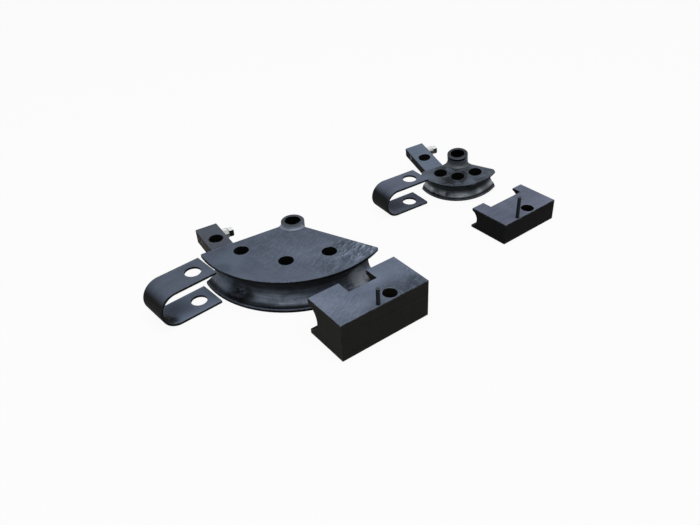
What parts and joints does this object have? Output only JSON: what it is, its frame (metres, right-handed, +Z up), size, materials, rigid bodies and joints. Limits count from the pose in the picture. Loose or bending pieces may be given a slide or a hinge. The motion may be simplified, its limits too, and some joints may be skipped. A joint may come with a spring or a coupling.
{
  "type": "tube bender die sets",
  "caption": "Large and small tube bender die sets laid out apart: grooved quarter-circle bend dies with hook arms, U-straps and notched, grooved follow blocks.",
  "frame": {"origin": "on the axis of the large die's pivot bore, at the die's underside, which is the bench", "axes": "+Z up along the large pivot bore; +X to the right and +Y away, as the set lies seen from its grooved side"},
  "size_m": [0.694, 0.579, 0.0947],
  "materials": {
    "blackened_steel": "satin blue-black mill finish with a film of oil",
    "strap_steel": "satin blue-black mill finish",
    "hub_steel": "satin blue-black turned steel",
    "weld_metal": "rippled weld, blackened",
    "zinc_plate": "bright zinc plate",
    "black_screw": "black oxide with worn edges"
  },
  "bodies": {
    "large_die": {"large_bend_die": "blackened_steel", "large_pivot_hub": "hub_steel", "large_hub_weld": "weld_metal", "large_hook_arm": "blackened_steel", "large_arm_weld": "weld_metal"},
    "large_nut": {"large_jam_nut": "zinc_plate"},
    "large_screw": {"large_clamp_screw": "black_screw"},
    "large_strap": {"large_u_strap": "strap_steel"},
    "large_block": {"large_follow_block": "blackened_steel", "large_dowel_pin": "hub_steel"},
    "small_die": {"small_bend_die": "blackened_steel", "small_pivot_hub": "hub_steel", "small_hub_weld": "weld_metal", "small_hook_arm": "blackened_steel", "small_arm_weld": "weld_metal"},
    "small_nut": {"small_jam_nut": "zinc_plate"},
    "small_screw": {"small_clamp_screw": "black_screw"},
    "small_strap": {"small_u_strap": "strap_steel"},
    "small_block": {"small_follow_block": "blackened_steel", "small_dowel_pin": "hub_steel"}
  },
  "joints": [
    {"name": "large_strap_lift", "type": "slide", "parent": "large_die", "child": "large_strap", "axis": [0, 0, 1], "range_m": [0, 0.1]},
    {"name": "large_block_lift", "type": "slide", "parent": "large_die", "child": "large_block", "axis": [0, 0, 1], "range_m": [0, 0.1]},
    {"name": "small_die_lift", "type": "slide", "parent": "large_die", "child": "small_die", "axis": [0, 0, 1], "range_m": [0, 0.1]},
    {"name": "small_strap_lift", "type": "slide", "parent": "large_die", "child": "small_strap", "axis": [0, 0, 1], "range_m": [0, 0.1]},
    {"name": "small_block_lift", "type": "slide", "parent": "large_die", "child": "small_block", "axis": [0, 0, 1], "range_m": [0, 0.1]},
    {"name": "large_screw_travel", "type": "slide", "parent": "large_die", "child": "large_nut", "axis": [0.866, 0.5, 0], "range_m": [0, 0.0072]},
    {"name": "large_screw_turn", "type": "hinge", "parent": "large_nut", "child": "large_screw", "pos_m": [-0.12244, -0.00372, 0.0477], "axis": [0.866, 0.5, 0], "range_deg": [0, 1440]},
    {"name": "small_screw_travel", "type": "slide", "parent": "small_die", "child": "small_nut", "axis": [0.9348, 0.3342, 0.1205], "range_m": [0, 0.0072]},
    {"name": "small_screw_turn", "type": "hinge", "parent": "small_nut", "child": "small_screw", "pos_m": [0.26189, 0.27706, 0.04248], "axis": [0.9348, 0.3342, 0.1205], "range_deg": [0, 1440]}
  ],
  "couplings": [
    {"joint": "large_screw_turn", "follows": "large_screw_travel", "rad_per_m": 3490.7},
    {"joint": "small_screw_turn", "follows": "small_screw_travel", "rad_per_m": 3490.7}
  ]
}
